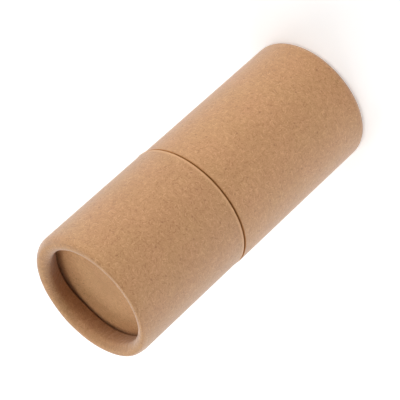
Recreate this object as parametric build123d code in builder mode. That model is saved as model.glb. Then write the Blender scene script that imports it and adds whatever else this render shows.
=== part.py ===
from build123d import *
import os

# Lidded paper tube, standing on its base. Millimetres, +Z up along the tube's axis,
# origin at the centre of the base's resting rim.

# The tube as a whole
outer_radius = 25.0
wall = 1.6
base_length = 68.5
lid_length = 52.5
height = base_length + lid_length
wall_inner_radius = outer_radius - wall

# The rolled rim. The wall turns over inwards at its end and comes back down inside itself,
# and its cut edge stands on the end disc.
rim_width = 5.0
crest_inset = 2.4
crest_width = 0.7
lid_shoulder = 3.9
base_shoulder = 2.7
lip_drop = 2.6
recess_depth = 8.7
fold_gap = 0.1
rim_inner_radius = outer_radius - rim_width
crest_outer_radius = outer_radius - crest_inset
crest_inner_radius = crest_outer_radius - crest_width

# The mouths where lid and base meet
mouth_round = 0.3

# The end discs
disc_thickness = 1.6
disc_clearance = 0.1
disc_radius = wall_inner_radius - disc_clearance
floor_height = recess_depth + disc_thickness

# The neck sleeve, glued into the base, which the lid slides over
neck_wall = 1.2
neck_rise = 18.0
neck_clearance = 0.2
neck_round = 0.4
neck_radius = wall_inner_radius - neck_clearance
neck_top = base_length + neck_rise


def wall_section(length, shoulder):
    # Half section of a wall: x is the radius, the crest of the rim is at y = 0 and
    # the mouth at y = -length.
    leg_outer_radius = rim_inner_radius + wall
    bend_radius = (wall_inner_radius - leg_outer_radius) / 2
    bend_depth = wall + bend_radius
    edge_outer_radius = wall_inner_radius - fold_gap
    edge_inner_radius = edge_outer_radius - wall

    with BuildSketch() as section:
        with BuildLine():
            # up the outside, over the shoulder, the crest and the lip
            Line((outer_radius, -length), (outer_radius, -shoulder))
            EllipticalCenterArc(
                (crest_outer_radius, -shoulder),
                outer_radius - crest_outer_radius,
                shoulder,
                start_angle=0,
                arc_size=90,
            )
            Line((crest_outer_radius, 0), (crest_inner_radius, 0))
            EllipticalCenterArc(
                (crest_inner_radius, -lip_drop),
                crest_inner_radius - rim_inner_radius,
                lip_drop,
                start_angle=90,
                arc_size=90,
            )
            # down the turned leg, which leans out to the wall, and across its cut edge
            Line((rim_inner_radius, -lip_drop), (edge_inner_radius, -recess_depth))
            Line((edge_inner_radius, -recess_depth), (edge_outer_radius, -recess_depth))
            # back up between the two layers, round the inside of the bend and down to the mouth
            Line((edge_outer_radius, -recess_depth), (leg_outer_radius, -bend_depth))
            CenterArc(
                (leg_outer_radius + bend_radius, -bend_depth),
                bend_radius,
                start_angle=180,
                arc_size=-180,
            )
            Line((wall_inner_radius, -bend_depth), (wall_inner_radius, -length))
            Line((wall_inner_radius, -length), (outer_radius, -length))
        make_face()
        fillet(section.vertices().group_by(Axis.Y)[0], radius=mouth_round)
    return section.sketch


# The base's wall stands on its rim, so its section hangs down from the foot's plane
# with its own y axis pointing down.
foot_plane = Plane(origin=(0, 0, 0), x_dir=(1, 0, 0), z_dir=(0, 1, 0))
top_plane = Plane(origin=(0, 0, height), x_dir=(1, 0, 0), z_dir=(0, -1, 0))

with BuildPart() as base_tube:
    with BuildSketch(foot_plane):
        add(wall_section(base_length, base_shoulder))
    revolve(axis=Axis.Z)

with BuildPart() as lid_tube:
    with BuildSketch(top_plane):
        add(wall_section(lid_length, lid_shoulder))
    revolve(axis=Axis.Z)

# Each disc lies against the cut edge of its rim, the base's with the neck standing on it.
with BuildPart() as base_disc:
    with BuildSketch(Plane.XY.offset(recess_depth)):
        Circle(disc_radius)
    extrude(amount=disc_thickness)

with BuildPart() as lid_disc:
    with BuildSketch(Plane.XY.offset(height - floor_height)):
        Circle(disc_radius)
    extrude(amount=disc_thickness)

with BuildPart() as neck_sleeve:
    with BuildSketch(Plane.XY.offset(floor_height)):
        Circle(neck_radius)
        Circle(neck_radius - neck_wall, mode=Mode.SUBTRACT)
    extrude(amount=neck_top - floor_height)
    fillet(neck_sleeve.faces().sort_by(Axis.Z)[-1].edges(), radius=neck_round)

base_tube.part.label = "base_tube"
base_disc.part.label = "base_disc"
neck_sleeve.part.label = "neck_sleeve"
lid_tube.part.label = "lid_tube"
lid_disc.part.label = "lid_disc"

os.makedirs("parts", exist_ok=True)
export_step(base_tube.part, "parts/base_tube.step")
export_step(base_disc.part, "parts/base_disc.step")
export_step(neck_sleeve.part, "parts/neck_sleeve.step")
export_step(lid_tube.part, "parts/lid_tube.step")
export_step(lid_disc.part, "parts/lid_disc.step")
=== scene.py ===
# Lidded kraft paper tube: the looks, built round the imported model. Metres and degrees.
import bpy
import bmesh
import math
import numpy as np
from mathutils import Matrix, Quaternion, Vector


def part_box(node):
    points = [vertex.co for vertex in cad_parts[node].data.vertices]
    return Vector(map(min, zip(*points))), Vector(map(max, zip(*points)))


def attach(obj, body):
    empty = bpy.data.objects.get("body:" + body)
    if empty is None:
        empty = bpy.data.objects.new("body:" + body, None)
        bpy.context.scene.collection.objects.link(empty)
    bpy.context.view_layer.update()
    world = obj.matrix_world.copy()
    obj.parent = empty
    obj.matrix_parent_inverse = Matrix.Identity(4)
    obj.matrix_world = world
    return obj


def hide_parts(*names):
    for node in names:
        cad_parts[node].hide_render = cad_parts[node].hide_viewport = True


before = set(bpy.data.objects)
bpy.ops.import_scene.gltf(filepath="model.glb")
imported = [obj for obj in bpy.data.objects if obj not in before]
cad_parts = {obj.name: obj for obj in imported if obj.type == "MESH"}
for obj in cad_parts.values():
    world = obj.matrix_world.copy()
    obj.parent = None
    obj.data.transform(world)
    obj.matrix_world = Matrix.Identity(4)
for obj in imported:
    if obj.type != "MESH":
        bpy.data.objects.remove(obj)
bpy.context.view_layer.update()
print("frame loaded")

mm = 0.001
weldDistance = 0.004 * mm
smoothDegrees = 50
leastWeight = 0.001
cutNumber = 1  # of a piece's two materials, the one on its cut edges
white = (1, 1, 1, 1)

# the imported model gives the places, and every piece below is fitted to them
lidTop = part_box("lid_tube")[1].z
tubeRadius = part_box("base_tube")[1].x
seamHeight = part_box("base_tube")[1].z
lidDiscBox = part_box("lid_disc")
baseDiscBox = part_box("base_disc")
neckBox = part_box("neck_sleeve")
recessDepth = baseDiscBox[0].z


# drawing in the half section: every point is (radius, height)

def arc(centre, radii, fromDegrees, toDegrees, steps):
    points = []
    for step in range(steps + 1):
        turn = math.radians(fromDegrees + (toDegrees - fromDegrees) * step / steps)
        points.append((centre[0] + radii[0] * math.cos(turn), centre[1] + radii[1] * math.sin(turn)))
    return points


def straight(start, end, steps):
    # the start itself is left out, because the stretch before it ends there
    return [
        (start[0] + (end[0] - start[0]) * step / steps, start[1] + (end[1] - start[1]) * step / steps)
        for step in range(1, steps + 1)
    ]


def joinStretches(stretches):
    # one list of points, and beside it the name of the stretch that each one ends
    points = [point for zone, run in stretches for point in run]
    zones = [zone for zone, run in stretches for point in run]
    return points, zones


# modelling: a ring is drawn and pulled along the section, as on a lathe

def pullRings(name, points, segments):
    bpy.ops.object.select_all(action="DESELECT")
    bpy.ops.mesh.primitive_circle_add(
        vertices=segments, radius=points[0][0], location=(0, 0, points[0][1])
    )
    piece = bpy.context.object
    piece.name = name
    bpy.ops.object.transform_apply(location=True, rotation=False, scale=False)
    bpy.ops.object.mode_set(mode="EDIT")
    bpy.ops.mesh.select_all(action="SELECT")
    for (radius, height), (nextRadius, nextHeight) in zip(points, points[1:]):
        bpy.ops.mesh.extrude_edges_move(
            TRANSFORM_OT_translate={"value": (0, 0, nextHeight - height)}
        )
        growth = nextRadius / radius
        bpy.ops.transform.resize(value=(growth, growth, 1), center_override=(0, 0, nextHeight))
    return piece


def endShaping():
    # all faces are turned outwards, and edit mode is left
    bpy.ops.mesh.select_all(action="SELECT")
    bpy.ops.mesh.normals_make_consistent(inside=False)
    bpy.ops.object.mode_set(mode="OBJECT")


def weldRings():
    # the last ring lies on the first one
    bpy.ops.mesh.select_all(action="SELECT")
    bpy.ops.mesh.remove_doubles(threshold=weldDistance)
    endShaping()


def capRings(piece, endRadius):
    # both ends of a disc's section stop short of the axis, and a fan of faces closes each
    form = bmesh.from_edit_mesh(piece.data)
    bpy.ops.mesh.select_all(action="DESELECT")
    for vertex in form.verts:
        vertex.select = vertex.co.xy.length < endRadius + weldDistance
    form.select_flush(True)
    bmesh.update_edit_mesh(piece.data)
    bpy.ops.mesh.edge_face_add()
    bpy.ops.mesh.poke()
    endShaping()


def vertexPlaces(piece):
    places = np.zeros(len(piece.data.vertices) * 3)
    piece.data.vertices.foreach_get("co", places)
    return places.reshape(-1, 3)


def turnsFrom(piece, degrees):
    # how far each vertex is turned round the tube from the given side, the front being 0 and +X 90
    places = vertexPlaces(piece)
    return np.arctan2(places[:, 0], -places[:, 1]) - math.radians(degrees)


def ringNumbers(piece, points):
    # which of the section's points each vertex belongs to
    places = vertexPlaces(piece)
    section = np.array(points)
    radiusApart = np.hypot(places[:, 0], places[:, 1])[:, None] - section[None, :, 0]
    heightApart = places[:, 2, None] - section[None, :, 1]
    return (radiusApart ** 2 + heightApart ** 2).argmin(axis=1)


def unrollPaper(piece, points, lapDegrees, creaseSize=None):
    # the map is the paper laid flat, in metres: round the tube, and along the section
    rings = ringNumbers(piece, points)
    steps = [math.dist(first, second) for first, second in zip(points, points[1:])]
    along = np.concatenate([[0], np.cumsum(steps)])
    fullLength = along[-1]
    turns = np.mod(turnsFrom(piece, lapDegrees), 2 * math.pi)
    paper = piece.data.uv_layers.new(name="paper")
    for face in piece.data.polygons:
        corners = list(face.loop_indices)
        vertices = [piece.data.loops[corner].vertex_index for corner in corners]
        faceTurns = turns[vertices]
        faceAlong = along[rings[vertices]]
        if faceTurns.max() - faceTurns.min() > math.pi:
            faceTurns = np.where(faceTurns < math.pi, faceTurns + 2 * math.pi, faceTurns)
        if faceAlong.max() - faceAlong.min() > fullLength / 2:
            faceAlong = np.where(faceAlong < fullLength / 2, faceAlong + fullLength, faceAlong)
        for corner, turn, length in zip(corners, faceTurns, faceAlong):
            paper.data[corner].uv = (turn * tubeRadius, length)
    if creaseSize:
        # the same sheet, measured in creases: short round the tube, long along the section
        creases = piece.data.uv_layers.new(name="creases")
        for corner, sheet in zip(creases.data, paper.data):
            corner.uv = (sheet.uv[0] / creaseSize[0], sheet.uv[1] / creaseSize[1])
        piece.data.uv_layers.active = paper
    return rings


def stretchShares(rings, zones, shares):
    # from a share at each stretch's start to one at its end, and none where no stretch is named
    values = []
    for number, zone in enumerate(zones):
        first, last = shares.get(zone, (0.0, 0.0))
        done = (number - zones.index(zone) + 1) / zones.count(zone)
        values.append(max(0.0, first + (last - first) * done))
    return np.array(values)[rings]


def sideShares(piece, degrees, narrowness):
    # 1 on the given side, falling to 0 across from it; a narrowness of 0 is 1 all round
    return (0.5 + 0.5 * np.cos(turnsFrom(piece, degrees))) ** narrowness


def keepAttribute(piece, name, values):
    mark = piece.data.attributes.new(name=name, type="FLOAT", domain="POINT")
    mark.data.foreach_set("value", values.astype(np.float32))


def keepGroup(piece, name, values):
    group = piece.vertex_groups.new(name=name)
    for number in np.nonzero(values > leastWeight)[0]:
        group.add([int(number)], float(values[number]), "REPLACE")


def useOnZones(piece, rings, zones, names, materialNumber):
    # faces that lie wholly in the named stretches take another of the piece's materials
    inside = np.isin(np.array(zones)[rings], names)
    for face in piece.data.polygons:
        if inside[list(face.vertices)].all():
            face.material_index = materialNumber


def pick(piece):
    # the operators that follow act on this piece alone
    bpy.ops.object.select_all(action="DESELECT")
    bpy.context.view_layer.objects.active = piece
    piece.select_set(True)


def press(piece, groupName, depth, direction="NORMAL", pattern=None, patternMap=None):
    # moves what the group holds, or all of the piece, by one amount or by a pattern
    pick(piece)
    bpy.ops.object.modifier_add(type="DISPLACE")
    move = piece.modifiers[-1]
    move.direction = direction
    move.strength = depth
    move.mid_level = 0.0 if pattern is None else 0.5
    move.vertex_group = groupName
    if pattern is not None:
        move.texture = pattern
        move.texture_coords = "UV" if patternMap else "LOCAL"
        if patternMap:
            move.uv_layer = patternMap
    bpy.ops.object.modifier_apply(modifier=move.name)


def shiftPart(piece, groupName, shift):
    # without a group's name the whole piece moves
    for direction, amount in zip("XYZ", shift):
        if amount:
            press(piece, groupName, amount, direction)


def clouds(name, size):
    pattern = bpy.data.textures.new(name, "CLOUDS")
    pattern.noise_scale = size
    pattern.noise_depth = 1
    return pattern


def smooth(piece):
    pick(piece)
    bpy.ops.object.shade_smooth_by_angle(angle=math.radians(smoothDegrees))


def dress(piece, node, body, materials):
    for material in materials:
        piece.data.materials.append(material)
    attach(piece, body)
    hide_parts(node)


# shader nodes

def addNode(tree, kind, **settings):
    node = tree.nodes.new(kind)
    for key, value in settings.items():
        setattr(node, key, value)
    return node


def feed(tree, node, values):
    # each value is a number, a colour or another node's output
    for key, value in values.items():
        if isinstance(value, bpy.types.NodeSocket):
            tree.links.new(value, node.inputs[key])
        else:
            node.inputs[key].default_value = value
    return node


def sums(tree, operation, first, second=0.0, third=0.0):
    node = addNode(tree, "ShaderNodeMath", operation=operation)
    return feed(tree, node, {0: first, 1: second, 2: third}).outputs[0]


def mixColours(tree, share, first, second, blend="MIX"):
    node = addNode(tree, "ShaderNodeMix", data_type="RGBA", blend_type=blend, clamp_factor=True)
    return feed(tree, node, {0: share, 6: first, 7: second}).outputs[2]


def toShare(tree, value):
    # from a value between -1 and 1 to a share between 0 and 1
    return sums(tree, "MULTIPLY_ADD", value, 0.5, 0.5)


def newGroup(name, inputs, outputs):
    tree = bpy.data.node_groups.new(name, "ShaderNodeTree")
    for label, kind in inputs:
        tree.interface.new_socket(label, in_out="INPUT", socket_type="NodeSocket" + kind)
    for label, kind in outputs:
        tree.interface.new_socket(label, in_out="OUTPUT", socket_type="NodeSocket" + kind)
    return tree, addNode(tree, "NodeGroupInput"), addNode(tree, "NodeGroupOutput")


def fibreGroup():
    # one short bent fibre in each cell, lying any way, with its sizes measured in cells;
    # Kept is the share of cells that have one, and Tone says how dark or pale it is, from -1 to 1
    tree, given, out = newGroup(
        "fibreStrokes",
        [
            ("Map", "Vector"),
            ("Cells per metre", "Float"),
            ("Half length", "Float"),
            ("Half width", "Float"),
            ("Bend", "Float"),
            ("Kept", "Float"),
        ],
        [("Mask", "Float"), ("Tone", "Float")],
    )
    cells = feed(
        tree,
        addNode(tree, "ShaderNodeTexVoronoi", voronoi_dimensions="2D"),
        {"Vector": given.outputs["Map"], "Scale": given.outputs["Cells per metre"]},
    )
    luck = feed(tree, addNode(tree, "ShaderNodeSeparateColor"), {"Color": cells.outputs["Color"]})
    fromPoint = feed(
        tree,
        addNode(tree, "ShaderNodeVectorMath", operation="SUBTRACT"),
        {0: given.outputs["Map"], 1: cells.outputs["Position"]},
    )
    inCells = feed(
        tree,
        addNode(tree, "ShaderNodeVectorMath", operation="SCALE"),
        {0: fromPoint.outputs[0], "Scale": given.outputs["Cells per metre"]},
    )
    turned = feed(
        tree,
        addNode(tree, "ShaderNodeVectorRotate", rotation_type="Z_AXIS"),
        {"Vector": inCells.outputs[0], "Angle": sums(tree, "MULTIPLY", luck.outputs["Red"], 2 * math.pi)},
    )
    across = feed(tree, addNode(tree, "ShaderNodeSeparateXYZ"), {0: turned.outputs[0]})
    x, y = across.outputs["X"], across.outputs["Y"]
    luckyBend = sums(tree, "SUBTRACT", luck.outputs["Green"], 0.5)
    bend = sums(tree, "MULTIPLY", luckyBend, given.outputs["Bend"])
    bentY = sums(tree, "ADD", y, sums(tree, "MULTIPLY", bend, sums(tree, "MULTIPLY", x, x)))
    # how far it is from the fibre's middle line, which ends at the half length
    pastEnd = sums(tree, "SUBTRACT", sums(tree, "ABSOLUTE", x), given.outputs["Half length"])
    pastEnd = sums(tree, "MAXIMUM", pastEnd, 0.0)
    endSquare = sums(tree, "MULTIPLY", pastEnd, pastEnd)
    squares = sums(tree, "ADD", endSquare, sums(tree, "MULTIPLY", bentY, bentY))
    body = feed(
        tree,
        addNode(tree, "ShaderNodeMapRange", interpolation_type="SMOOTHSTEP"),
        {
            "Value": sums(tree, "SQRT", squares),
            "From Min": given.outputs["Half width"],
            "From Max": 0.0,
            "To Min": 0.0,
            "To Max": 1.0,
        },
    )
    kept = sums(tree, "LESS_THAN", luck.outputs["Blue"], given.outputs["Kept"])
    tone = sums(tree, "SUBTRACT", sums(tree, "MULTIPLY", luck.outputs["Green"], 2.0), 1.0)
    feed(tree, out, {"Mask": sums(tree, "MULTIPLY", body.outputs[0], kept), "Tone": tone})
    return tree


def useGroup(tree, group, values):
    node = addNode(tree, "ShaderNodeGroup", node_tree=group)
    return feed(tree, node, values)


noiseForm = {
    "roughness": 0.55,
    "span": (0.3, 0.7),  # nearly all of the noise lies between these
}


def noise(tree, vector, cellsPerUnit, detail=2.0, stretch=(1, 1, 1)):
    # noise about zero, from about -1 to 1
    mapping = feed(tree, addNode(tree, "ShaderNodeMapping"), {"Vector": vector, "Scale": stretch})
    cloud = feed(
        tree,
        addNode(tree, "ShaderNodeTexNoise"),
        {
            "Vector": mapping.outputs[0],
            "Scale": cellsPerUnit,
            "Detail": detail,
            "Roughness": noiseForm["roughness"],
        },
    )
    low, high = noiseForm["span"]
    return feed(
        tree,
        addNode(tree, "ShaderNodeMapRange", clamp=False),
        {"Value": cloud.outputs[0], "From Min": low, "From Max": high, "To Min": -1.0, "To Max": 1.0},
    ).outputs[0]


kraftPulp = {
    # cells per metre of each noise
    "grain": 1900.0,
    "clouds": 650.0,
    "patches": (190.0, 55.0),
    "tint": 75.0,
    # three sizes of fibre, each with an offset in metres, so that the three don't line up
    "fibres": (
        {"cells": 420.0, "halfWidth": 0.09, "offset": 0.0},
        {"cells": 600.0, "halfWidth": 0.12, "offset": 0.31},
        {"cells": 850.0, "halfWidth": 0.15, "offset": 0.67},
    ),
    "fibreHalfLength": 0.3,
    "fibreBend": 1.6,
    # small round specks, and a few long splinters
    "specks": (
        {"cells": 240.0, "halfLength": 0.03, "halfWidth": 0.13, "kept": 0.24},
        {"cells": 80.0, "halfLength": 0.06, "halfWidth": 0.032, "kept": 0.12},
    ),
    "speckBend": 3.0,
    "speckDepth": 0.65,
    "speckSpread": 0.35,
    # how much a change of tint moves red and green, where blue moves by 1
    "tintRed": 0.6,
    "tintGreen": 0.5,
}


def kraftGroup(fibres):
    # brown kraft paper: clouds in the pulp, pale and dark fibres, and a few dark specks
    tree, given, out = newGroup(
        "kraftSheet",
        [
            ("Map", "Vector"),
            ("Pale", "Color"),
            ("Dark", "Color"),
            ("Speck", "Color"),
            ("Grain", "Float"),
            ("Clouds", "Float"),
            ("Patches", "Float"),
            ("Fibres", "Float"),
            ("Specks", "Float"),
            ("Tint", "Float"),
        ],
        [("Color", "Color"), ("Height", "Float")],
    )
    place = given.outputs["Map"]
    shade = sums(tree, "MULTIPLY", noise(tree, place, kraftPulp["grain"]), given.outputs["Grain"])
    pulpClouds = noise(tree, place, kraftPulp["clouds"])
    shade = sums(tree, "MULTIPLY_ADD", pulpClouds, given.outputs["Clouds"], shade)
    for cellsPerMetre in kraftPulp["patches"]:
        patches = noise(tree, place, cellsPerMetre)
        shade = sums(tree, "MULTIPLY_ADD", patches, given.outputs["Patches"], shade)
    # most of the fibres are faint, and a few strong
    for fibre in kraftPulp["fibres"]:
        shifted = feed(
            tree,
            addNode(tree, "ShaderNodeVectorMath", operation="ADD"),
            {0: place, 1: (fibre["offset"], fibre["offset"], 0)},
        )
        layer = useGroup(
            tree,
            fibres,
            {
                "Map": shifted.outputs[0],
                "Cells per metre": fibre["cells"],
                "Half length": kraftPulp["fibreHalfLength"],
                "Half width": fibre["halfWidth"],
                "Bend": kraftPulp["fibreBend"],
                "Kept": 1.0,
            },
        )
        tone = layer.outputs["Tone"]
        strong = sums(tree, "MULTIPLY", tone, sums(tree, "ABSOLUTE", tone))
        stroke = sums(tree, "MULTIPLY", layer.outputs["Mask"], strong)
        shade = sums(tree, "MULTIPLY_ADD", stroke, given.outputs["Fibres"], shade)
    paper = mixColours(tree, toShare(tree, shade), given.outputs["Dark"], given.outputs["Pale"])
    # the brown leans a little to yellow in places, and to red in others
    lean = sums(tree, "MULTIPLY", noise(tree, place, kraftPulp["tint"]), given.outputs["Tint"])
    leaning = feed(
        tree,
        addNode(tree, "ShaderNodeCombineColor"),
        {
            "Red": sums(tree, "ADD", 1.0, sums(tree, "MULTIPLY", lean, kraftPulp["tintRed"])),
            "Green": sums(tree, "SUBTRACT", 1.0, sums(tree, "MULTIPLY", lean, kraftPulp["tintGreen"])),
            "Blue": sums(tree, "ADD", 1.0, lean),
        },
    )
    flecked = mixColours(tree, 1.0, paper, leaning.outputs[0], "MULTIPLY")
    for speck in kraftPulp["specks"]:
        layer = useGroup(
            tree,
            fibres,
            {
                "Map": place,
                "Cells per metre": speck["cells"],
                "Half length": speck["halfLength"],
                "Half width": speck["halfWidth"],
                "Bend": kraftPulp["speckBend"],
                "Kept": speck["kept"],
            },
        )
        tone = layer.outputs["Tone"]
        depth = sums(tree, "MULTIPLY_ADD", tone, kraftPulp["speckSpread"], kraftPulp["speckDepth"])
        share = sums(tree, "MULTIPLY", layer.outputs["Mask"], depth)
        share = sums(tree, "MULTIPLY", share, given.outputs["Specks"])
        flecked = mixColours(tree, share, flecked, given.outputs["Speck"])
    feed(tree, out, {"Color": flecked, "Height": shade})
    return tree


cutPlies = {
    # cells per metre, and the share that each has in the shade
    "lines": 2600.0,
    "lineStretch": (0.02, 1, 1),
    "lineShare": 0.6,
    "fluff": 1500.0,
    "fluffShare": 0.4,
}


def pliesGroup():
    # a cut through the board: its layers of paper show as thin lines along the edge
    tree, given, out = newGroup(
        "cutPlies",
        [("Map", "Vector"), ("Pale", "Color"), ("Dark", "Color")],
        [("Color", "Color"), ("Height", "Float")],
    )
    place = given.outputs["Map"]
    lines = noise(tree, place, cutPlies["lines"], detail=1.0, stretch=cutPlies["lineStretch"])
    fluff = sums(tree, "MULTIPLY", noise(tree, place, cutPlies["fluff"]), cutPlies["fluffShare"])
    shade = sums(tree, "MULTIPLY_ADD", lines, cutPlies["lineShare"], fluff)
    paper = mixColours(tree, toShare(tree, shade), given.outputs["Dark"], given.outputs["Pale"])
    feed(tree, out, {"Color": paper, "Height": shade})
    return tree


def newMaterial(name):
    material = bpy.data.materials.new(name)
    material.use_nodes = True
    material.node_tree.nodes.clear()
    return material, material.node_tree


def finishMaterial(tree, look, colour, height, roughness):
    relief = feed(
        tree,
        addNode(tree, "ShaderNodeBump"),
        {"Height": height, "Strength": look["relief"], "Distance": look["reliefDepth"]},
    )
    paint = feed(
        tree,
        addNode(tree, "ShaderNodeBsdfPrincipled"),
        {
            "Base Color": colour,
            "Roughness": roughness,
            "Specular IOR Level": look["specular"],
            "Sheen Weight": look["sheen"],
            "Sheen Roughness": look["sheenRoughness"],
            "Normal": relief.outputs[0],
        },
    )
    out = addNode(tree, "ShaderNodeOutputMaterial")
    tree.links.new(paint.outputs[0], out.inputs["Surface"])


def paperMaterial(name, kraft, look):
    material, tree = newMaterial(name)
    paperMap = addNode(tree, "ShaderNodeUVMap", uv_map="paper").outputs[0]
    sheet = useGroup(
        tree,
        kraft,
        {
            "Map": paperMap,
            "Pale": look["pale"],
            "Dark": look["dark"],
            "Speck": look["speck"],
            "Grain": look["grain"],
            "Clouds": look["clouds"],
            "Patches": look["patches"],
            "Fibres": look["fibres"],
            "Specks": look["specks"],
            "Tint": look["tint"],
        },
    )
    colour, height = sheet.outputs["Color"], sheet.outputs["Height"]
    roughness = look["roughness"]
    if look["paintedCreaseShade"]:
        # painted shade: the creased stretches of the turned-in paper are painted darker, and darker still
        # in noise streaks that stand for the shade in the crease valleys
        creaseMap = addNode(tree, "ShaderNodeUVMap", uv_map="creases").outputs[0]
        creasedAndShaded = addNode(tree, "ShaderNodeAttribute", attribute_name="creasedAndShaded").outputs["Fac"]
        paintedValleyShade = noise(tree, creaseMap, look["foldsPerCrease"], detail=1.0)
        paintedValleyShade = sums(tree, "MULTIPLY", paintedValleyShade, creasedAndShaded)
        paintedCreaseZoneShade = sums(tree, "MULTIPLY", creasedAndShaded, look["paintedCreaseShade"])
        share = sums(tree, "MULTIPLY_ADD", paintedValleyShade, look["paintedCreaseShade"], paintedCreaseZoneShade)
        colour = mixColours(tree, share, colour, look["speck"])
        # along the crest the paper is stretched, which leaves it rougher; its colour there is a painted
        # highlight, lifted in red and green and lowered in blue
        crestHighlight = addNode(tree, "ShaderNodeAttribute", attribute_name="crestHighlight").outputs["Fac"]
        roughness = sums(tree, "MULTIPLY_ADD", crestHighlight, 1.0 - look["roughness"], look["roughness"])
        crestHighlightColour = mixColours(tree, 1.0, colour, look["stretch"], "MULTIPLY")
        colour = mixColours(tree, crestHighlight, colour, crestHighlightColour)
        # and the band at the lid's mouth is painted paler: a rubbed edge, and a painted highlight along
        # the lid's edge
        rubbedAndHighlighted = addNode(tree, "ShaderNodeAttribute", attribute_name="rubbedAndHighlighted").outputs["Fac"]
        colour = mixColours(tree, sums(tree, "MULTIPLY", rubbedAndHighlighted, look["rubAndHighlight"]), colour, look["rubHighlightPale"])
    finishMaterial(tree, look, colour, height, roughness)
    return material


def cutMaterial(name, plies, look):
    material, tree = newMaterial(name)
    paperMap = addNode(tree, "ShaderNodeUVMap", uv_map="paper").outputs[0]
    cut = useGroup(tree, plies, {"Map": paperMap, "Pale": look["pale"], "Dark": look["dark"]})
    finishMaterial(tree, look, cut.outputs["Color"], cut.outputs["Height"], look["roughness"])
    return material


wallLook = {
    "pale": (0.574, 0.312, 0.140, 1),
    "dark": (0.374, 0.169, 0.057, 1),
    # the specks' colour, which is also the colour that the painted crease shade darkens towards
    "speck": (0.27, 0.105, 0.035, 1),
    # how strongly each pattern shows
    "grain": 0.5,
    "clouds": 0.36,
    "patches": 0.1,
    "fibres": 1.9,
    "specks": 0.8,
    "tint": 0.018,
    # painted shade in the creased stretches, and how many of its streaks there are to a crease
    "paintedCreaseShade": 0.07,
    "foldsPerCrease": 1.3,
    # the crest's colour set below is a painted highlight
    "stretch": (1.2, 1.13, 0.8, 1),  # multiplies the colour along the crest
    # the lid's mouth band is painted paler, partly a rubbed edge and partly a painted highlight
    "rubAndHighlight": 0.8,
    "rubHighlightPale": (0.72, 0.42, 0.21, 1),
    "relief": 0.5,
    "reliefDepth": 0.05 * mm,
    "roughness": 0.75,
    "specular": 0.5,
    "sheen": 0.55,
    "sheenRoughness": 0.5,
}
# the lid is wound from a slightly darker roll
lidLook = {
    **wallLook,
    "pale": (0.543, 0.295, 0.1325, 1),
    "dark": (0.353, 0.159, 0.054, 1),
}
# painted light: the discs are painted paler than the walls' paper, standing in for light that reaches too
# little into the recess
discLookPaintedLight = {
    **wallLook,
    "pale": (0.755, 0.431, 0.201, 1),
    "dark": (0.500, 0.238, 0.088, 1),
    "paintedCreaseShade": 0.0,
    "grain": 0.45,
    "clouds": 0.3,
    "sheen": 0.1,
}
# painted shade: the neck's paper is painted darker than the walls', for the shade in the gap between lid
# and base
neckLookPaintedShade = {
    **wallLook,
    "pale": (0.48, 0.235, 0.105, 1),
    "dark": (0.315, 0.127, 0.043, 1),
    "paintedCreaseShade": 0.0,
    "relief": 0.35,
    "specular": 0.1,
    "sheen": 0.0,
}
# painted shade: the cut edges are painted a darker brown than the walls, partly the board's own cut
# colour and partly the shade in the seam between lid and base
cutLookPaintedShade = {
    "pale": (0.53, 0.265, 0.118, 1),
    "dark": (0.34, 0.147, 0.052, 1),
    "relief": 0.5,
    "reliefDepth": 0.08 * mm,
    "roughness": 1.0,
    "specular": 0.0,
    "sheen": 0.0,
    "sheenRoughness": 0.5,
}

fibres = fibreGroup()
kraft = kraftGroup(fibres)
plies = pliesGroup()
kraftWall = paperMaterial("kraft_wall", kraft, wallLook)
kraftLid = paperMaterial("kraft_lid", kraft, lidLook)
kraftDiscPaintedLight = paperMaterial("kraft_disc", kraft, discLookPaintedLight)
neckPaperPaintedShade = paperMaterial("neck_paper", kraft, neckLookPaintedShade)
cutBoardPaintedShade = cutMaterial("cut_board_painted_shade", plies, cutLookPaintedShade)
print("paper made")


# the walls of lid and base, each rolled inwards at its end

wall = {
    "thickness": 1.6 * mm,
    "rimWidth": 5.2 * mm,
    "crestInset": 2.0 * mm,
    "crestWidth": 0.25 * mm,
    "lipDrop": 2.6 * mm,
    "foldGap": 0.25 * mm,
    "edgeLift": 0.6 * mm,  # how far the turned-in edge stays clear of the disc
    "cornerRound": 0.3 * mm,
    "seamGap": 0.235 * mm,  # half of the gap between lid and base
    # that band is painted paler: a rubbed edge, and a painted highlight
    "edgeWidth": 1.3 * mm,  # the band at the mouth that flares and is rubbed
    "unevenSize": 9 * mm,
    "unevenDepth": 0.16 * mm,
    "creaseSize": (1.7 * mm, 9 * mm),
    "creaseCloud": 1.0,
    "creaseDepth": 0.22 * mm,
    "segments": 360,
    "rings": {
        "mouthRound": 4,
        "edge": 4,
        "outside": 26,
        "shoulder": 16,
        "crest": 2,
        "lip": 16,
        "leg": 12,
        "cut": (4, 2, 3),
        "fold": 6,
        "bend": 8,
        "bore": 14,
        "mouth": (4, 2),
    },
}

# what share of a change each stretch takes, at its start and at its end; from a start below 0 it
# sets in late, and at an end below 0 it is over early
whole = (1.0, 1.0)
shares = {
    # where the creases are pressed in, and where painted shade darkens the paper
    "creasedAndShaded": {"lip": (0.1, 1), "leg": whole, "cut": (1, 0.3)},
    # where the crest's painted highlight lies
    "crestHighlight": {"shoulder": (-3, 1), "crest": whole, "lip": (1, -1)},
    "uneven": {
        "shoulder": (0, 1),
        "crest": whole,
        "lip": whole,
        "leg": whole,
        "cut": whole,
        "fold": (1, 0),
    },
    "crestRoll": {"shoulder": (-0.3, 0.8), "crest": (0.8, 0.9), "lip": (0.9, 0.8), "leg": (0.8, 0)},
    "crestLean": {"shoulder": (0, 1), "crest": whole, "lip": whole, "leg": (1, 0)},
    "foot": {"leg": (0, 1), "cut": whole, "fold": (1, 0)},
}
allRound = (0.0, 0)

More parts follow.
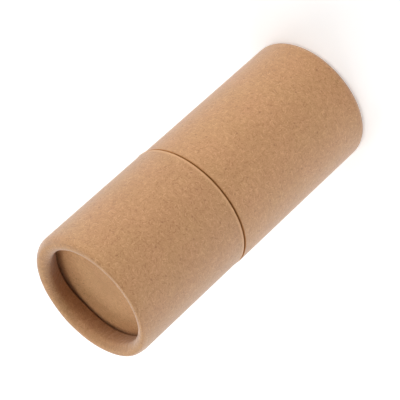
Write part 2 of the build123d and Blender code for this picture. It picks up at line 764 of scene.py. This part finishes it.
baseWall = {
    "shoulder": 2.7 * mm,
    "flare": 0.0,
    "rubAndHighlight": 0.0,
    "lap": 170.0,
    "shift": (-0.15 * mm, 0.0, 0.0),
    "moves": {},
}
# the lid's rim was rolled out of true: each move names the stretches that go with it, the side of
# the tube by its turn from the front and its narrowness, and how far they go in X, Y and Z
lidWall = {
    "shoulder": 3.9 * mm,
    "flare": 0.15 * mm,
    # the mouth band's paler paint: a rubbed edge and a painted highlight
    "rubAndHighlight": 1.0,
    "lap": 205.0,
    "shift": (0.1 * mm, 0.0, 0.0),
    "moves": {
        "crestRoll": ("crestRoll", allRound, (-0.65 * mm, -0.65 * mm, 0.0)),
        "crestLean": ("crestLean", (-15.0, 1), (0.0, 0.0, -0.45 * mm)),
        "footRoll": ("foot", allRound, (0.3 * mm, -0.6 * mm, 0.0)),
        "footDent": ("foot", (184.0, 24), (0.0, -0.85 * mm, 0.0)),
        "footLift": ("foot", (148.0, 24), (0.0, 0.0, 0.45 * mm)),
    },
}


def wallSection(length, own):
    # heights are measured down from the crest, so the mouth is at the wall's length
    shoulder = own["shoulder"]
    mouthRadius = tubeRadius + own["flare"]
    corner = wall["cornerRound"]
    rounds = (corner, corner)
    bandTop = length - wall["edgeWidth"]
    boreRadius = tubeRadius - wall["thickness"]
    crestOuter = tubeRadius - wall["crestInset"]
    crestInner = crestOuter - wall["crestWidth"]
    shoulderRadii = (wall["crestInset"], shoulder)
    rimRadius = tubeRadius - wall["rimWidth"]
    lipRadii = (crestInner - rimRadius, wall["lipDrop"])
    legRadius = rimRadius + wall["thickness"]
    bendRadius = (boreRadius - legRadius) / 2
    bendRadii = (bendRadius, bendRadius)
    bendDepth = wall["thickness"] + bendRadius
    edgeOuter = boreRadius - wall["foldGap"]
    edgeInner = edgeOuter - wall["thickness"]
    edgeDepth = recessDepth - wall["edgeLift"]
    rings = wall["rings"]
    cutIn, cutFlat, cutOut = rings["cut"]
    mouthIn, mouthFlat = rings["mouth"]
    return joinStretches([
        ("mouthRound", arc((mouthRadius - corner, length - corner), rounds, 90, 0, rings["mouthRound"])),
        ("edge", straight((mouthRadius, length - corner), (tubeRadius, bandTop), rings["edge"])),
        ("outside", straight((tubeRadius, bandTop), (tubeRadius, shoulder), rings["outside"])),
        ("shoulder", arc((crestOuter, shoulder), shoulderRadii, 0, -90, rings["shoulder"])[1:]),
        ("crest", straight((crestOuter, 0), (crestInner, 0), rings["crest"])),
        ("lip", arc((crestInner, wall["lipDrop"]), lipRadii, -90, -180, rings["lip"])[1:]),
        ("leg", straight((rimRadius, wall["lipDrop"]), (edgeInner, edgeDepth - corner), rings["leg"])),
        ("cut", arc((edgeInner + corner, edgeDepth - corner), rounds, 180, 90, cutIn)[1:]),
        ("cut", straight((edgeInner + corner, edgeDepth), (edgeOuter - corner, edgeDepth), cutFlat)),
        ("cut", arc((edgeOuter - corner, edgeDepth - corner), rounds, 90, 0, cutOut)[1:]),
        ("fold", straight((edgeOuter, edgeDepth - corner), (legRadius, bendDepth), rings["fold"])),
        ("bend", arc((legRadius + bendRadius, bendDepth), bendRadii, 180, 360, rings["bend"])[1:]),
        ("bore", straight((boreRadius, bendDepth), (boreRadius, length - corner), rings["bore"])),
        ("mouth", arc((boreRadius + corner, length - corner), rounds, 180, 90, mouthIn)[1:]),
        ("mouth", straight((boreRadius + corner, length), (mouthRadius - corner, length), mouthFlat)),
    ])


def rolledWall(name, section, own):
    points, zones = section
    piece = pullRings(name, points, wall["segments"])
    weldRings()
    rings = unrollPaper(piece, points, own["lap"], wall["creaseSize"])
    # the paper's looks follow these
    # the creased share also sets where the paper is painted with crease shade
    creasedAndShaded = stretchShares(rings, zones, shares["creasedAndShaded"])
    keepAttribute(piece, "creasedAndShaded", creasedAndShaded)
    # the crest's painted highlight
    keepAttribute(piece, "crestHighlight", stretchShares(rings, zones, shares["crestHighlight"]))
    # the paler mouth band: a rubbed edge and a painted highlight
    keepAttribute(piece, "rubbedAndHighlighted", stretchShares(rings, zones, {"edge": (own["rubAndHighlight"], 0)}))
    useOnZones(piece, rings, zones, ["mouth", "mouthRound", "cut"], cutNumber)
    # and its shape follows these, all of them worked out before anything is moved
    keepGroup(piece, "creasedAndShaded", creasedAndShaded)
    keepGroup(piece, "uneven", stretchShares(rings, zones, shares["uneven"]))
    for moveName, (stretches, side, shift) in own["moves"].items():
        moved = stretchShares(rings, zones, shares[stretches]) * sideShares(piece, *side)
        keepGroup(piece, moveName, moved)
    press(piece, "uneven", wall["unevenDepth"], pattern=clouds(name + "Uneven", wall["unevenSize"]))
    creases = clouds(name + "Creases", wall["creaseCloud"])
    press(piece, "creasedAndShaded", wall["creaseDepth"], pattern=creases, patternMap="creases")
    shiftPart(piece, "", own["shift"])
    for moveName, (stretches, side, shift) in own["moves"].items():
        shiftPart(piece, moveName, shift)
    smooth(piece)
    return piece


def standing(section, foot):
    # the section stands on its crest
    points, zones = section
    return [(radius, foot + depth) for radius, depth in points], zones


def hanging(section, top):
    # the section hangs from its crest
    points, zones = section
    return [(radius, top - depth) for radius, depth in points], zones


baseLength = seamHeight - wall["seamGap"]
lidLength = lidTop - seamHeight - wall["seamGap"]
baseTube = rolledWall("base_tube_paper", standing(wallSection(baseLength, baseWall), 0), baseWall)
dress(baseTube, "base_tube", "base", [kraftWall, cutBoardPaintedShade])
lidTube = rolledWall("lid_tube_paper", hanging(wallSection(lidLength, lidWall), lidTop), lidWall)
dress(lidTube, "lid_tube", "lid", [kraftLid, cutBoardPaintedShade])
print("walls rolled")


# the discs set back in the rims

disc = {
    "cornerRound": 0.25 * mm,
    "heart": 0.5 * mm,  # where the rings stop and a fan of faces begins
    "lap": 180.0,
    "segments": 240,
    "faceRings": 24,
    "cornerRings": 4,
    "rimRings": 2,
}


def discSection(radius, low, high):
    corner, heart = disc["cornerRound"], disc["heart"]
    cornerRings = disc["cornerRings"]
    return joinStretches([
        ("face", [(heart, high)]),
        ("face", straight((heart, high), (radius - corner, high), disc["faceRings"])),
        ("rim", arc((radius - corner, high - corner), (corner, corner), 90, 0, cornerRings)[1:]),
        ("rim", straight((radius, high - corner), (radius, low + corner), disc["rimRings"])),
        ("rim", arc((radius - corner, low + corner), (corner, corner), 0, -90, cornerRings)[1:]),
        ("face", straight((radius - corner, low), (heart, low), disc["faceRings"])),
    ])


def paperDisc(name, box, shift):
    points, zones = discSection(box[1].x, box[0].z, box[1].z)
    piece = pullRings(name, points, disc["segments"])
    capRings(piece, disc["heart"])
    rings = unrollPaper(piece, points, disc["lap"])
    useOnZones(piece, rings, zones, ["rim"], cutNumber)
    shiftPart(piece, "", shift)
    smooth(piece)
    return piece


# each disc goes with the wall that it closes
baseDisc = paperDisc("base_disc_paper", baseDiscBox, baseWall["shift"])
dress(baseDisc, "base_disc", "base", [kraftDiscPaintedLight, cutBoardPaintedShade])
lidDisc = paperDisc("lid_disc_paper", lidDiscBox, lidWall["shift"])
dress(lidDisc, "lid_disc", "lid", [kraftDiscPaintedLight, cutBoardPaintedShade])
print("discs cut")


# the neck sleeve that the lid slides over

neck = {
    "thickness": 1.2 * mm,
    "cornerRound": 0.4 * mm,
    "lap": 150.0,
    "segments": 300,
    "wallRings": 30,
    "cornerRings": 5,
    "footRings": 2,
}


def neckSection(box):
    outer, low, high = box[1].x, box[0].z, box[1].z
    inner, corner = outer - neck["thickness"], neck["cornerRound"]
    wallRings, cornerRings = neck["wallRings"], neck["cornerRings"]
    return joinStretches([
        ("outside", [(outer, low)]),
        ("outside", straight((outer, low), (outer, high - corner), wallRings)),
        ("mouth", arc((outer - corner, high - corner), (corner, corner), 0, 90, cornerRings)[1:]),
        ("mouth", straight((outer - corner, high), (inner + corner, high), 1)),
        ("mouth", arc((inner + corner, high - corner), (corner, corner), 90, 180, cornerRings)[1:]),
        ("bore", straight((inner, high - corner), (inner, low), wallRings)),
        ("foot", straight((inner, low), (outer, low), neck["footRings"])),
    ])


points, zones = neckSection(neckBox)
neckSleeve = pullRings("neck_sleeve_paper", points, neck["segments"])
weldRings()
rings = unrollPaper(neckSleeve, points, neck["lap"])
useOnZones(neckSleeve, rings, zones, ["mouth"], cutNumber)
smooth(neckSleeve)
dress(neckSleeve, "neck_sleeve", "base", [neckPaperPaintedShade, cutBoardPaintedShade])
print("neck made")


# floor, light and camera

studio = {
    "floorSize": 12.0,
    "floorPaint": (0.88, 0.88, 0.88, 1),
    "floorGlow": (0.36, 0.9),  # near the tube, and far out
    "glowEdge": (0.3, 1.9),  # how far from the tube it changes from one to the other
    "ambient": 0.25,
    "lampDistance": 2.0,
    "lampAim": 0.5,  # the share of the tube's height that the lamps look at
}


def whiteShare(tree):
    # 1 for the rays that see the background: from the camera, in gloss and through glass
    path = addNode(tree, "ShaderNodeLightPath")
    seen = sums(tree, "ADD", path.outputs["Is Camera Ray"], path.outputs["Is Glossy Ray"])
    return sums(tree, "MINIMUM", sums(tree, "ADD", seen, path.outputs["Is Transmission Ray"]), 1.0)


def makeFloor():
    bpy.ops.object.select_all(action="DESELECT")
    bpy.ops.mesh.primitive_plane_add(size=studio["floorSize"], location=(0, 0, 0))
    floor = bpy.context.object
    floor.name = "floor"
    paint = bpy.data.materials.new("floor_white")
    paint.use_nodes = True
    tree = paint.node_tree
    surface = tree.nodes["Principled BSDF"]
    feed(tree, surface, {"Base Color": studio["floorPaint"], "Roughness": 1.0, "Specular IOR Level": 0.0})
    surface.inputs["Emission Color"].default_value = white
    # the lamps light the floor near the tube nearly to white, so that its shadow shows there;
    # farther out the floor glows as the sky does
    place = addNode(tree, "ShaderNodeTexCoord").outputs["Object"]
    away = feed(tree, addNode(tree, "ShaderNodeVectorMath", operation="LENGTH"), {0: place})
    level = feed(
        tree,
        addNode(tree, "ShaderNodeMapRange", interpolation_type="SMOOTHSTEP"),
        {
            "Value": away.outputs["Value"],
            "From Min": studio["glowEdge"][0],
            "From Max": studio["glowEdge"][1],
            "To Min": studio["floorGlow"][0],
            "To Max": studio["floorGlow"][1],
        },
    )
    glow = sums(tree, "MULTIPLY", whiteShare(tree), level.outputs[0])
    tree.links.new(glow, surface.inputs["Emission Strength"])
    floor.data.materials.append(paint)


def makeSky():
    sky = bpy.data.worlds.new("studio")
    bpy.context.scene.world = sky
    sky.use_nodes = True
    tree = sky.node_tree
    light = tree.nodes["Background"]
    light.inputs["Color"].default_value = white
    level = feed(
        tree,
        addNode(tree, "ShaderNodeMapRange"),
        {"Value": whiteShare(tree), "To Min": studio["ambient"], "To Max": 1.0},
    )
    tree.links.new(level.outputs[0], light.inputs["Strength"])


# softboxes round the tube: turn from the front towards +X, rise, width, height and power
lamps = {
    "front": (28, 4, 0.9, 0.4, 15.6),
    "key": (62, 10, 0.9, 0.7, 8.3),
    "edge": (95, 12, 0.9, 0.7, 9.2),
    "side": (-90, 2.3, 0.9, 0.15, 14.5),
    "sideBack": (-125, 14, 0.9, 0.7, 5.4),
    "sideTop": (-140, 40, 0.9, 0.7, 7.4),
    "back": (180, 12, 0.9, 0.7, 10.0),
    "backMid": (180, 40, 0.9, 0.7, 5.9),
    "top": (0, 88, 0.9, 0.7, 9.6),
}


def outwards(turn, rise):
    # which way it is from the tube to a lamp or camera
    turned, raised = math.radians(turn), math.radians(rise)
    level = math.cos(raised)
    return Vector((math.sin(turned) * level, -math.cos(turned) * level, math.sin(raised)))


def makeLamp(name, turn, rise, width, height, power):
    target = Vector((0, 0, lidTop * studio["lampAim"]))
    toLamp = outwards(turn, rise)
    light = bpy.data.lights.new(name, "AREA")
    light.shape = "RECTANGLE"
    light.size = width
    light.size_y = height
    light.energy = power
    lamp = bpy.data.objects.new(name, light)
    bpy.context.scene.collection.objects.link(lamp)
    lamp.location = target + toLamp * studio["lampDistance"]
    lamp.rotation_mode = "QUATERNION"
    lamp.rotation_quaternion = (-toLamp).to_track_quat("-Z", "Y")
    lamp.visible_camera = False


photoView = {
    "lens": 186.4,
    "sensorWidth": 36.0,
    "nearClip": 10 * mm,
    "distance": 718.9 * mm,
    "rise": 29.733,
    "lookHeight": 67.29 * mm,
    "aimRight": -0.0005,  # past the look point, as a share of the distance
    "aimUp": -0.0054,
    "roll": 227.6021,
}


def makeCamera():
    back = outwards(0, photoView["rise"])
    target = Vector((0, 0, photoView["lookHeight"]))
    right = Vector((1, 0, 0))
    up = back.cross(right)
    aim = -back + right * photoView["aimRight"] + up * photoView["aimUp"]
    camera = bpy.data.objects.new("camera", bpy.data.cameras.new("camera"))
    bpy.context.scene.collection.objects.link(camera)
    camera.data.lens = photoView["lens"]
    camera.data.sensor_width = photoView["sensorWidth"]
    camera.data.clip_start = photoView["nearClip"]
    camera.location = target + back * photoView["distance"]
    camera.rotation_mode = "QUATERNION"
    roll = Quaternion((0, 0, 1), math.radians(photoView["roll"]))
    camera.rotation_quaternion = aim.to_track_quat("-Z", "Y") @ roll
    bpy.context.scene.camera = camera


makeFloor()
makeSky()
for name, setting in lamps.items():
    makeLamp(name, *setting)
makeCamera()
bpy.context.scene.view_settings.view_transform = "Standard"
print("studio set")
